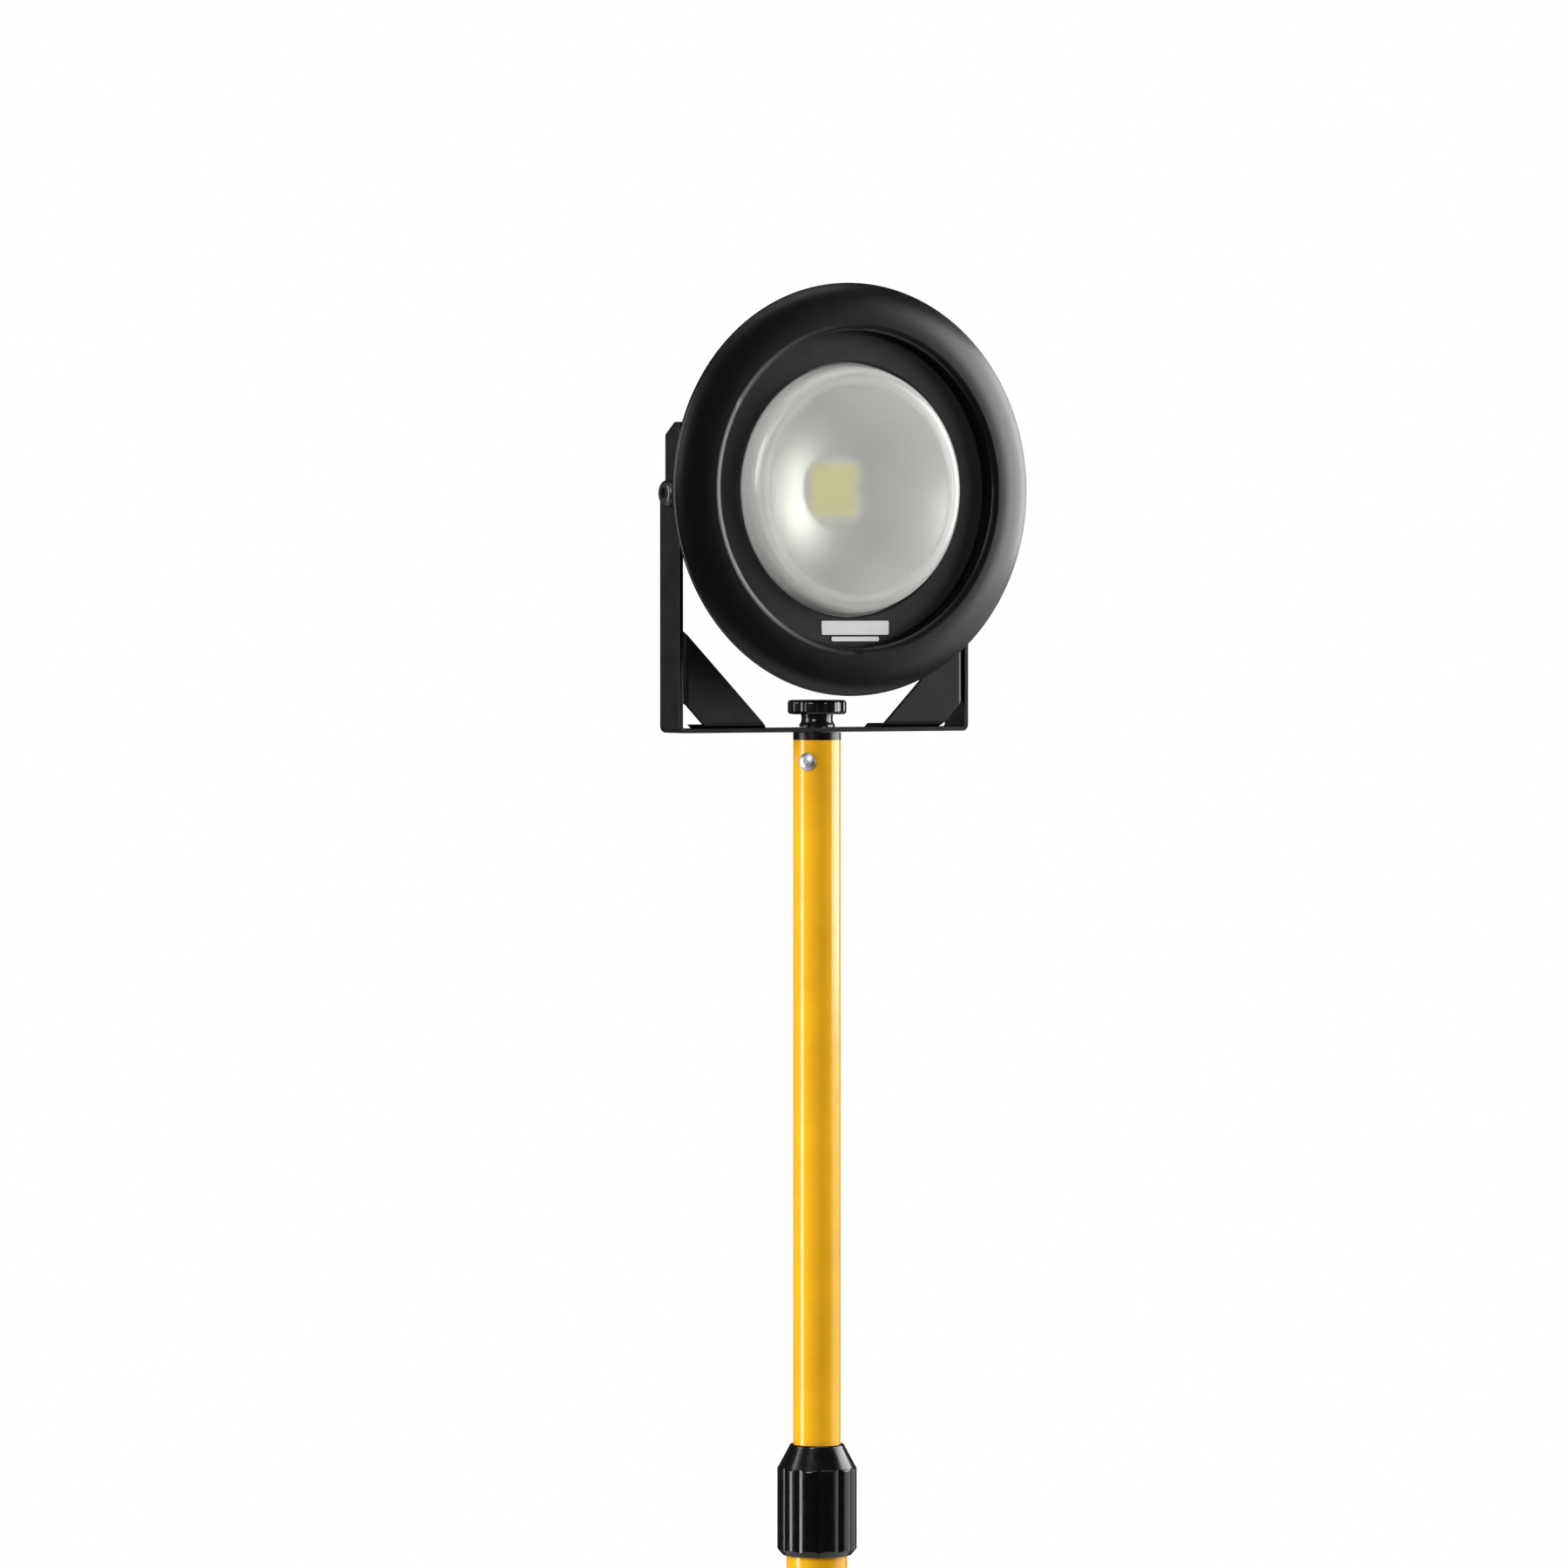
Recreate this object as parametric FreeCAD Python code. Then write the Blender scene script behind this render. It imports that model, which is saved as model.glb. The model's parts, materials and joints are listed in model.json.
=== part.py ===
import FreeCAD, Part

import math
import os

# Tripod work light: a round LED floodlight in a yoke, on a telescopic mast with a folding tripod.
# Millimetres. +Z is up, the lamp looks along -Y, and the origin is on the floor on the mast's axis.

V = FreeCAD.Vector
X_AXIS, Y_AXIS, Z_AXIS = V(1, 0, 0), V(0, 1, 0), V(0, 0, 1)
SIDES = {"left": -1, "right": 1}

# Main heights
PLATE_Z = 1500.0  # underside of the yoke's base strip
HEAD_Z = PLATE_Z + 127.1  # lamp axis
TILT_Z = PLATE_Z + 124.9  # tilt axis
RUN_GAP = 0.1  # radial clearance of a running fit
FREE_GAP = 0.3  # clearance between pieces that only pass each other

# Head: radii, and distances forward of the tilt axis
BEZEL_R, CREST_R, LIP_FRONT, RIM_FRONT = 107.9, 86.6, 42.6, 35.2
BEZEL_WALL_R, BEZEL_BORE_R, SKIN = 85.2, 83.0, 2.7
RING_R, RING_HOLE_R, RING_BACK, RING_FRONT = 82.8, 66.6, 31.0, 33.4
LENS_R, LENS_SIDE_R, LENS_BACK, LENS_SEAT, LENS_CREST = 72.0, 66.1, 26.0, 30.0, 46.0
HOUSING_R, HOUSING_WALL, HOUSING_FRONT, HOUSING_BACK = 82.4, 3.4, 30.9, -14.0
SPREADER_FRONT, SPREADER_BACK = 13.7, 7.7
LUG_R, LUG_COUNT = 90.0, 6
COVER_R, COVER_THICK, FIN_DEPTH, FIN_PITCH, FIN_THICK = 75.0, 4.0, 22.0, 9.0, 2.6
GLAND_DROP = 46.0
CHIP_SIDE, CHIP_PLATE, BOARD_SIDE, BADGE_X, BADGE_T = 28.0, 31.6, 44.0, 3.0, 0.35
BOARD_SCREW_R, COVER_SCREW_R = 26.2, 70.0

# Yoke: a bent flat bar with pressed corner gussets
YOKE_OUT, STRIP_T, STRIP_FRONT, STRIP_REAR, STRIP_BEND = 88.9, 2.3, -8.5, 11.5, 3.5
ARM_TOP, ARM_NECK = 162.0, 5.5
GUSSET_X, GUSSET_Z, GUSSET_T, GUSSET_BEND, GUSSET_CUT = 51.6, 51.6, 2.0, 3.6, 14.8
BOLT_R, BOLT_HEAD_R, BOLT_HEAD = 4.0, 7.0, 4.4
BOSS_R, BOSS_FACE, WASHER_T = 13.0, 84.1, 2.2

# Hand knob on the mast's top
KNOB_TOP, KNOB_UNDER, KNOB_R, NECK_R, STUD_R = 16.8, 9.3, 15.6, 8.8, 5.0

# Mast tubes
UPPER_R, LOWER_R, WALL = 12.5, 16.0, 1.5
PLUG_BAND, UPPER_LENGTH = 4.2, 850.0
LOWER_BOTTOM, LOWER_TOP = 60.0, 1096.0
RIVET_DROP, RIVET_BEARING, RIVET_HEAD_R = 15.6, -55.0, 4.7
COLLAR_TOP, COLLAR_BOTTOM, COLLAR_R, SLEEVE_THREAD_R = 1124.2, 1065.7, 21.2, 18.0
COLLAR_RIBS, COLLAR_RIB_R, FIRST_RIB = 12, 10.0, 17.0  # the ribs are wide and shallow

# Tripod: pivot radius, link length, rest angle from the vertical, and the leg's offset from its pivots
LEG_BEARINGS = (0.0, 120.0, 240.0)
PIVOT_R, LINK, SPREAD, LEG_OFFSET = 33.0, 260.0, 44.0, 22.0
HUB_Z, LEG_R, LEG_END_Z = 88.0, 11.0, 16.0
EAR_R, PIN_R, PIN_HEAD_R, PIN_HEAD = 8.0, 3.0, 5.5, 2.0
PIN_HOLE = PIN_R + 0.08
STRUT_T, TONGUE_T = 4.0, 8.0
SLEEVE_R = 21.0
SPREAD_RAD = math.radians(SPREAD)
LEG_Z = HUB_Z + 2 * LINK * math.cos(SPREAD_RAD)
LEG_LENGTH = (LEG_Z + LEG_OFFSET * math.sin(SPREAD_RAD) - LEG_END_Z) / math.cos(SPREAD_RAD)


def box(x0, x1, y0, y1, z0, z1):
    return Part.makeBox(x1 - x0, y1 - y0, z1 - z0, V(x0, y0, z0))


def rod(radius, start, end):
    """A solid cylinder from one point to another."""
    along = end - start
    return Part.makeCylinder(radius, along.Length, start, along)


def pipe(outer, inner, start, end):
    return rod(outer, start, end).cut(rod(inner, start, end))


def upright(outer, inner, z0, z1):
    """A pipe on the mast's axis."""
    return pipe(outer, inner, V(0, 0, z0), V(0, 0, z1))


def outline(points, place):
    """A closed face. Each point is (a, b) for a straight run, or ((a, b), (a, b)) for an arc by way of a point."""
    edges = []
    here = place(*points[0])
    for step in list(points[1:]) + [points[0]]:
        curved = isinstance(step[0], tuple)
        there = place(*(step[1] if curved else step))
        if curved:
            edges.append(Part.Arc(here, place(*step[0]), there).toShape())
        elif (there - here).Length > 1e-6:
            edges.append(Part.makeLine(here, there))
        here = there
    return Part.Face(Part.Wire(edges))


def prism(points, place, along):
    return outline(points, place).extrude(along)


def turned_head(points):
    """A solid of revolution about the lamp's axis, from (radius, forward) points."""
    face = outline(points, lambda r, d: V(r, -d, HEAD_Z))
    return face.revolve(V(0, 0, HEAD_Z), Y_AXIS, 360)


def turned_mast(points):
    """A solid of revolution about the mast's axis, from (radius, height) points."""
    return outline(points, lambda r, z: V(r, 0, z)).revolve(V(0, 0, 0), Z_AXIS, 360)


def head_point(x, forward, up):
    """A point given from where the lamp's axis meets the tilt axis."""
    return V(x, -forward, HEAD_Z + up)


def head_disc(radius, back, front):
    return rod(radius, head_point(0, back, 0), head_point(0, front, 0))


def head_block(half_x, half_z, back, front, corner=0.0):
    """A block on the lamp's axis, with its four long edges rounded if a corner radius is given."""
    block = box(-half_x, half_x, -front, -back, HEAD_Z - half_z, HEAD_Z + half_z)
    if corner:
        block = block.makeFillet(corner, [e for e in block.Edges if parallel(e, Y_AXIS)])
    return block


def parallel(edge, axis):
    return abs(edge.tangentAt(edge.FirstParameter).dot(axis)) > 0.999


def around(radius, count, first=0.0):
    """(x, up) places on a circle about the lamp's axis."""
    for i in range(count):
        angle = math.radians(first + 360.0 * i / count)
        yield radius * math.cos(angle), radius * math.sin(angle)


def spun(shape, degrees):
    """A copy turned about the mast's axis."""
    copy = shape.copy()
    copy.rotate(V(0, 0, 0), Z_AXIS, degrees)
    return copy


def bearing(degrees):
    """The horizontal direction at this angle from the front, positive towards the light's right-hand side, +X."""
    angle = math.radians(degrees)
    return V(math.sin(angle), -math.cos(angle), 0)


def fused(shapes):
    first = shapes[0]
    return first.multiFuse(shapes[1:]).removeSplitter() if len(shapes) > 1 else first


def group(shapes):
    return Part.makeCompound(shapes)


# ---------------------------------------------------------------- head


def bezel_ring():
    """A hollow convex ring with a rolled inner lip, an inner wall, and screw bosses behind its skin."""
    ring = turned_head([
        (BEZEL_BORE_R, LIP_FRONT - 1.5),
        ((CREST_R - 2.0, LIP_FRONT - 0.35), (CREST_R, LIP_FRONT)),
        ((92.8, 42.15), (98.6, 40.9)),
        ((103.9, 38.9), (107.0, 36.9)),
        ((107.8, 36.2), (BEZEL_R, RIM_FRONT)),
        ((107.5, 33.9), (106.2, 33.9)),
        ((97.6, 37.8), (88.0, LIP_FRONT - 1.3 - SKIN)),
        (BEZEL_WALL_R, LIP_FRONT - 1.0 - SKIN),
        (BEZEL_WALL_R, 28.0),
        (BEZEL_BORE_R, 28.0),
        (BEZEL_BORE_R, RING_FRONT + 0.1),
        (BEZEL_BORE_R - 1.4, RING_FRONT + 0.1),
        (BEZEL_BORE_R - 1.4, RING_FRONT + 1.0),
        (BEZEL_BORE_R, RING_FRONT + 1.0),
    ])
    bosses = [rod(4.5, head_point(x, 28, up), head_point(x, 39.8, up)) for x, up in around(LUG_R, LUG_COUNT, 30)]
    holes = [rod(1.65, head_point(x, 27, up), head_point(x, 36, up)) for x, up in around(LUG_R, LUG_COUNT, 30)]
    return fused([ring] + bosses).cut(group(holes))


def lens_ring():
    """The flat trim ring that presses the lens onto its gasket."""
    return turned_head([
        (RING_HOLE_R, LENS_SEAT + 0.05),
        (LENS_R + 0.3, LENS_SEAT + 0.05),
        (LENS_R + 0.3, RING_BACK),
        (RING_R, RING_BACK),
        (RING_R, RING_FRONT),
        (RING_HOLE_R + 0.8, RING_FRONT),
        (RING_HOLE_R, RING_FRONT - 0.8),
    ])


def badge():
    """A plain two-bar mark on the trim ring."""
    bars = []
    for half_width, low, high in ((20.5, -75.9, -68.6), (14.5, -79.3, -76.9)):
        bar = box(BADGE_X - half_width, BADGE_X + half_width, -RING_FRONT - BADGE_T, -RING_FRONT,
                  HEAD_Z + low, HEAD_Z + high)
        bars.append(bar.makeFillet(0.9, [e for e in bar.Edges if parallel(e, Y_AXIS)]))
    return group(bars)


def cap_drop(radius, edge_radius, edge_drop):
    """How far a shallow spherical cap has fallen at a radius, if it falls by edge_drop at its edge."""
    sphere = (edge_radius ** 2 + edge_drop ** 2) / (2 * edge_drop)
    return sphere - math.sqrt(sphere ** 2 - radius ** 2)


def lens():
    """A pressed glass pan: a clamped flange, a steep side and a gently domed front."""
    front_edge, front_drop = 57.5, 2.4
    back_crest, back_edge, back_drop = LENS_CREST - 3.8, 56.6, 2.0
    return turned_head([
        (0, LENS_CREST),
        ((34.0, LENS_CREST - cap_drop(34.0, front_edge, front_drop)), (front_edge, LENS_CREST - front_drop)),
        ((62.3, 41.7), (64.4, 38.0)),
        (LENS_SIDE_R, LENS_SEAT),
        (LENS_R, LENS_SEAT),
        (LENS_R, LENS_BACK),
        (62.0, LENS_BACK),
        (60.6, 37.6),
        ((59.4, 39.4), (back_edge, back_crest - back_drop)),
        ((34.0, back_crest - cap_drop(34.0, back_edge, back_drop)), (0, back_crest)),
    ])


def lens_gasket():
    return turned_head([(67.0, 25.0), (LENS_R, 25.0), (LENS_R, 25.95), (67.0, 25.95)])


def reflector():
    """A spun bowl from the chip up into the lens, rolled over into a skirt that follows the lens's side."""
    return turned_head([
        (20.5, 18.0),
        ((40.6, 25.4), (57.6, 36.5)),
        ((58.7, 36.8), (59.6, 36.0)),
        (61.0, 25.9),
        (64.2, 25.9),
        (64.2, 25.2),
        (60.3, 25.2),
        (58.8, 35.4),
        ((58.4, 35.8), (57.8, 35.6)),
        ((41.0, 24.6), (20.8, 17.2)),
    ])


def cob_led():
    """The light-emitting chip: a ceramic plate and its phosphor pad."""
    plate = head_block(CHIP_PLATE / 2, CHIP_PLATE / 2, SPREADER_FRONT + 2.15, SPREADER_FRONT + 2.95)
    phosphor = head_block(CHIP_SIDE / 2, CHIP_SIDE / 2, SPREADER_FRONT + 2.95, SPREADER_FRONT + 3.6, 3.0)
    return fused([plate, phosphor])


def led_board():
    board = head_block(BOARD_SIDE / 2, BOARD_SIDE / 2, SPREADER_FRONT + 0.55, SPREADER_FRONT + 2.15, 2.0)
    holes = [rod(1.7, head_point(x, 10, up), head_point(x, 20, up)) for x, up in around(BOARD_SCREW_R, 4, 45)]
    return board.cut(group(holes))


def board_screws():
    screws = []
    for x, up in around(BOARD_SCREW_R, 4, 45):
        shank = rod(1.5, head_point(x, 9.5, up), head_point(x, SPREADER_FRONT + 2.3, up))
        head = rod(2.8, head_point(x, SPREADER_FRONT + 2.2, up), head_point(x, SPREADER_FRONT + 3.2, up))
        screws.append(shank.fuse(head))
    return group(screws)


def thermal_pad():
    pad = head_block(BOARD_SIDE / 2 - 1, BOARD_SIDE / 2 - 1, SPREADER_FRONT + 0.02, SPREADER_FRONT + 0.52)
    holes = [rod(2.2, head_point(x, 10, up), head_point(x, 20, up)) for x, up in around(BOARD_SCREW_R, 4, 45)]
    return pad.cut(group(holes))


def housing():
    """The cast body: an open front for the optics, a thick heat spreader, and a rear bay for the driver."""
    inner = HOUSING_R - HOUSING_WALL
    body = turned_head([
        (0, SPREADER_FRONT),
        (64.0, SPREADER_FRONT),
        (65.0, 25.0),
        (LENS_R + 0.6, 25.0),
        (LENS_R + 0.6, HOUSING_FRONT),
        (HOUSING_R, HOUSING_FRONT),
        (HOUSING_R, HOUSING_BACK + 3.0),
        (HOUSING_R - 3.0, HOUSING_BACK),
        (inner - 3.0, HOUSING_BACK),
        (inner, HOUSING_BACK + 3.0),
        (inner, SPREADER_BACK),
        (0, SPREADER_BACK),
    ])
    pieces = [body]
    holes = []
    for x, up in around(LUG_R, LUG_COUNT, 30):
        web = Part.makeBox(14, 5.7, 10, V(LUG_R - 14, -27.7, HEAD_Z - 5))
        web.rotate(V(0, 0, HEAD_Z), Y_AXIS, -math.degrees(math.atan2(up, x)))
        pieces += [web, rod(5.0, head_point(x, 22, up), head_point(x, 27.7, up))]
        holes.append(rod(2.1, head_point(x, 21, up), head_point(x, 29, up)))
    for x, up in around(COVER_SCREW_R, 4, 45):
        web = Part.makeBox(12, 12, 9, V(68, 2, HEAD_Z - 4.5))
        web.rotate(V(0, 0, HEAD_Z), Y_AXIS, -math.degrees(math.atan2(up, x)))
        pieces += [web, rod(4.5, head_point(x, HOUSING_BACK, up), head_point(x, -2, up))]
        holes.append(rod(1.65, head_point(x, HOUSING_BACK - 1, up), head_point(x, -4, up)))
    for x, up in around(BOARD_SCREW_R, 4, 45):
        holes.append(rod(1.6, head_point(x, 9, up), head_point(x, 20, up)))
    for side in SIDES.values():
        pieces.append(rod(BOSS_R, V(side * 62, 0, TILT_Z), V(side * BOSS_FACE, 0, TILT_Z)))
        holes.append(rod(BOLT_R + 0.05, V(side * 64, 0, TILT_Z), V(side * 90, 0, TILT_Z)))
    return fused(pieces).cut(group(holes))


def bezel_screws():
    screws = []
    for x, up in around(LUG_R, LUG_COUNT, 30):
        shank = rod(1.6, head_point(x, 21.5, up), head_point(x, 35, up))
        head = rod(3.6, head_point(x, 18.8, up), head_point(x, 21.9, up))
        socket = rod(1.5, head_point(x, 18, up), head_point(x, 20.6, up))
        screws.append(shank.fuse(head).cut(socket))
    return group(screws)


def rear_cover():
    """The finned lid over the driver bay, with a boss for the cable gland."""
    front = HOUSING_BACK - 0.1
    back = front - COVER_THICK
    disc = head_disc(COVER_R, back, front)
    envelope = Part.makeCone(70, 56, FIN_DEPTH, head_point(0, back + 0.5, 0), Y_AXIS)
    fins = []
    for i in range(-7, 8):
        x = i * FIN_PITCH
        fins.append(box(x - FIN_THICK / 2, x + FIN_THICK / 2, -back - 0.5, FIN_DEPTH - back,
                        HEAD_Z - 80, HEAD_Z + 80))
    fins = group(fins).common(envelope)
    boss = rod(15.0, head_point(0, back + 1, -GLAND_DROP), head_point(0, back - 3.0, -GLAND_DROP))
    clear = rod(18.0, head_point(0, back, -GLAND_DROP), head_point(0, back - 40, -GLAND_DROP))
    lid = fused([disc] + fins.cut(clear).Solids + [boss])
    holes = [rod(8.1, head_point(0, front + 5, -GLAND_DROP), head_point(0, back - 9, -GLAND_DROP))]
    for x, up in around(COVER_SCREW_R, 4, 45):
        holes.append(rod(2.1, head_point(x, front + 5, up), head_point(x, back - 1, up)))
        holes.append(rod(4.4, head_point(x, back, up), head_point(x, back - 40, up)))
    return lid.cut(group(holes))


def cover_screws():
    back = HOUSING_BACK - 0.1 - COVER_THICK
    screws = []
    for x, up in around(COVER_SCREW_R, 4, 45):
        shank = rod(1.6, head_point(x, back - 0.1, up), head_point(x, -5, up))
        head = rod(3.6, head_point(x, back - 3.0, up), head_point(x, back, up))
        socket = rod(1.5, head_point(x, back - 3.5, up), head_point(x, back - 1.2, up))
        screws.append(shank.fuse(head).cut(socket))
    return group(screws)


def led_driver():
    """The potted power supply in the rear bay, above the gland."""
    driver = box(-36, 36, -6.0, 11.5, HEAD_Z - 18, HEAD_Z + 28)
    return driver.makeFillet(2.0, [e for e in driver.Edges if parallel(e, Y_AXIS)])


def hexagon(across, back, front, drop):
    """A hexagonal prism along the lamp's axis, below it by drop."""
    corner = across / math.sqrt(3)
    points = [(corner * math.cos(math.radians(60 * i)), corner * math.sin(math.radians(60 * i))) for i in range(6)]
    return prism(points, lambda a, b: head_point(a, front, b - drop), V(0, front - back, 0))


def gland_places():
    face = HOUSING_BACK - 0.1 - COVER_THICK - 3.0
    return face, lambda forward: head_point(0, forward, -GLAND_DROP)


def gland_body():
    face, at = gland_places()
    body = fused([
        rod(8.0, at(face + 12), at(face - 0.05)),
        hexagon(22, face - 6, face - 0.05, GLAND_DROP),
        rod(9.0, at(face - 6), at(face - 13)),
    ])
    return body.cut(rod(6.6, at(face + 13), at(face - 14)))


def gland_cap():
    """The domed compression nut."""
    face, at = gland_places()
    cap = fused([
        hexagon(22, face - 14.5, face - 6.3, GLAND_DROP),
        rod(10.6, at(face - 14.5), at(face - 18)),
        Part.makeCone(10.6, 7.0, 5.0, at(face - 18), Y_AXIS),
    ])
    return cap.cut(fused([rod(9.1, at(face - 5), at(face - 13.5)), rod(6.9, at(face - 5), at(face - 30))]))


def gland_seal():
    """The rubber bush that grips the cable."""
    face, at = gland_places()
    return pipe(6.5, 4.0, at(face - 2), at(face - 22))


def pivot_bolts():
    bolts = []
    for side in SIDES.values():
        inner_end, seat = side * 65, side * (YOKE_OUT + FREE_GAP)
        crown = side * (YOKE_OUT + FREE_GAP + BOLT_HEAD)
        bolt = rod(BOLT_R, V(inner_end, 0, TILT_Z), V(seat, 0, TILT_Z))
        head = rod(BOLT_HEAD_R, V(seat, 0, TILT_Z), V(crown, 0, TILT_Z))
        rim = [e for e in head.Edges if abs(e.BoundBox.Center.x - crown) < 0.01 and e.Length > 30]
        head = head.makeFillet(2.6, rim)
        points = [(2.9 * math.cos(math.radians(60 * i)), 2.9 * math.sin(math.radians(60 * i))) for i in range(6)]
        socket = prism(points, lambda a, b: V(crown - side * 2.4, a, TILT_Z + b), V(side * 5, 0, 0))
        bolts.append(bolt.fuse(head).cut(socket))
    return group(bolts)


def pivot_washers():
    washers = []
    for side in SIDES.values():
        washers.append(pipe(BOSS_R - 1, BOLT_R + 0.05, V(side * (BOSS_FACE + 0.02), 0, TILT_Z),
                            V(side * (BOSS_FACE + WASHER_T), 0, TILT_Z)))
    return group(washers)


# ---------------------------------------------------------------- yoke


def yoke_bracket():
    """A flat bar bent into a U, with its arms' upper rear corners cut away."""
    inside = YOKE_OUT - STRIP_T
    low, high = PLATE_Z, PLATE_Z + STRIP_T
    top = PLATE_Z + ARM_TOP
    outer, inner = STRIP_BEND, STRIP_BEND - STRIP_T
    mid = 1 - math.sqrt(0.5)
    profile = [
        (-YOKE_OUT, top),
        (-YOKE_OUT, low + outer),
        ((-YOKE_OUT + outer * mid, low + outer * mid), (-YOKE_OUT + outer, low)),
        (YOKE_OUT - outer, low),
        ((YOKE_OUT - outer * mid, low + outer * mid), (YOKE_OUT, low + outer)),
        (YOKE_OUT, top),
        (inside, top),
        (inside, high + inner),
        ((inside - inner * mid, high + inner * mid), (inside - inner, high)),
        (-inside + inner, high),
        ((-inside + inner * mid, high + inner * mid), (-inside, high + inner)),
        (-inside, top),
    ]
    strap = prism(profile, lambda x, z: V(x, STRIP_FRONT, z), V(0, STRIP_REAR - STRIP_FRONT, 0))
    necked = STRIP_REAR - ARM_NECK
    cutaway = prism(
        [(STRIP_REAR + 1, TILT_Z - 2), (STRIP_REAR, TILT_Z - 2), (necked, TILT_Z + 3), (necked, top - 6.5),
         (necked - 11, top + 1), (STRIP_REAR + 1, top + 1)],
        lambda y, z: V(-100, y, z), V(200, 0, 0))
    bolt_hole = rod(BOLT_R + RUN_GAP, V(-100, 0, TILT_Z), V(100, 0, TILT_Z))
    stud_hole = rod(STUD_R + RUN_GAP, V(0, 0, low - 1), V(0, 0, high + 1))
    return strap.cut(cutaway).cut(bolt_hole).cut(stud_hole)


def gusset(side):
    """A pressed corner plate with flanges turned back along the arm and the base."""
    inside, floor = YOKE_OUT - STRIP_T, PLATE_Z + STRIP_T
    front, rear = STRIP_FRONT + 0.3, STRIP_REAR - 2.0
    wall = inside - 0.02

    def place(a, b):
        return V(side * (wall - a), front, floor + 0.02 + b)

    cut, cx, cz = GUSSET_CUT, GUSSET_X, GUSSET_Z
    block = prism([(0, cut), (cut, 0), (cx, 0), (0, cz)], place, V(0, rear - front, 0))
    soften = [e for e in block.Edges if abs(e.BoundBox.YMin - front) < 0.01 and abs(e.BoundBox.YMax - front) < 0.01
              and (parallel(e, X_AXIS) or parallel(e, Z_AXIS))]
    block = block.makeFillet(GUSSET_BEND, soften)
    hollow = prism([(GUSSET_T, cut - 9), (cut - 9, GUSSET_T), (cx + 20, GUSSET_T), (GUSSET_T, cz + 20)],
                   lambda a, b: place(a, b) + V(0, GUSSET_T, 0), V(0, 60, 0))
    return block.cut(hollow)


# ---------------------------------------------------------------- hand knob and mast


def lobed(radius, lobes, depth, z0, z1, edge):
    """A knob's head: a disc with shallow hollows round it and rounded edges."""
    disc = Part.makeCylinder(radius, z1 - z0, V(0, 0, z0))
    hollow_r = radius * 0.36
    hollows = []
    for i in range(lobes):
        angle = 2 * math.pi * (i + 0.5) / lobes
        reach = radius + hollow_r - depth
        foot = V(reach * math.cos(angle), reach * math.sin(angle), z0 - 1)
        hollows.append(Part.makeCylinder(hollow_r, z1 - z0 + 2, foot))
    head = disc.cut(group(hollows))
    head = head.makeFillet(edge + 0.6, [e for e in head.Edges if parallel(e, Z_AXIS)])
    return head.makeFillet(edge, [e for e in head.Edges if e.BoundBox.ZLength < 0.01])


def hand_knob():
    head = lobed(KNOB_R, 8, 1.5, PLATE_Z + KNOB_UNDER, PLATE_Z + KNOB_TOP, 1.7)
    foot = PLATE_Z + STRIP_T + FREE_GAP
    neck = turned_mast([
        (0, foot),
        (NECK_R + 0.6, foot),
        (NECK_R + 0.6, foot + 1.2),
        ((NECK_R - 0.4, foot + 3.2), (NECK_R - 0.5, foot + 5.0)),
        (NECK_R - 0.3, PLATE_Z + KNOB_UNDER + 1),
        (0, PLATE_Z + KNOB_UNDER + 1),
    ])
    bore = rod(STUD_R, V(0, 0, foot - 1), V(0, 0, PLATE_Z + 14))
    return fused([head, neck]).cut(bore)


def knob_stud():
    return rod(STUD_R, V(0, 0, PLATE_Z - 34), V(0, 0, PLATE_Z + 14))


def mast_plug():
    """The black plug in the tube's top: a visible band and a spigot that holds the threaded insert."""
    bore = UPPER_R - WALL
    top, band = PLATE_Z - FREE_GAP, PLATE_Z - PLUG_BAND
    body = turned_mast([
        (STUD_R + RUN_GAP + 0.3, top), (UPPER_R + 0.1, top), (UPPER_R + 0.1, band), (bore - 0.02, band),
        (bore - 0.02, PLATE_Z - 46), (STUD_R + RUN_GAP + 0.3, PLATE_Z - 46)])
    pocket = rod(7.5, V(0, 0, PLATE_Z - 30), V(0, 0, PLATE_Z - 12))
    return body.cut(pocket).cut(rivet_hole())


def stud_insert():
    return upright(7.45, STUD_R + 0.05, PLATE_Z - 29.9, PLATE_Z - 12.1)


def rivet_hole():
    out = bearing(RIVET_BEARING)
    at = V(0, 0, PLATE_Z - RIVET_DROP)
    return rod(2.4, at + out * 8.2, at + out * 20)


def tube_rivet():
    """A blind rivet: a domed head on the tube with its broken mandrel in the middle."""
    out = bearing(RIVET_BEARING)
    at = V(0, 0, PLATE_Z - RIVET_DROP)
    seat = at + out * (UPPER_R - 0.3)
    shank = rod(2.38, at + out * 8.4, seat + out * 0.5)
    flange = rod(RIVET_HEAD_R, seat, seat + out * 1.1)
    dome = Part.makeSphere(9.0, seat + out * (2.4 - 9.0)).common(rod(RIVET_HEAD_R, seat + out * 0.9, seat + out * 4))
    head = fused([flange, dome]).cut(rod(1.5, seat + out * 1.7, seat + out * 5))
    pin = rod(1.1, seat + out * 1.2, seat + out * 2.2)
    tube = rod(UPPER_R + 0.01, V(0, 0, PLATE_Z - 40), V(0, 0, PLATE_Z - 5))
    return fused([head.cut(tube), shank, pin])


def upper_tube():
    top = PLATE_Z - PLUG_BAND - 0.02
    return upright(UPPER_R, UPPER_R - WALL, top - UPPER_LENGTH, top).cut(rivet_hole())


def end_bush():
    """The nylon guide on the upper tube's lower end."""
    low = PLATE_Z - PLUG_BAND - UPPER_LENGTH
    outer, inner = LOWER_R - WALL - RUN_GAP, UPPER_R - WALL - 0.05
    return turned_mast([(8.0, low - 3), (outer, low - 3), (outer, low - 0.1), (inner, low - 0.1), (inner, low + 16),
                        (8.0, low + 16)])


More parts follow.
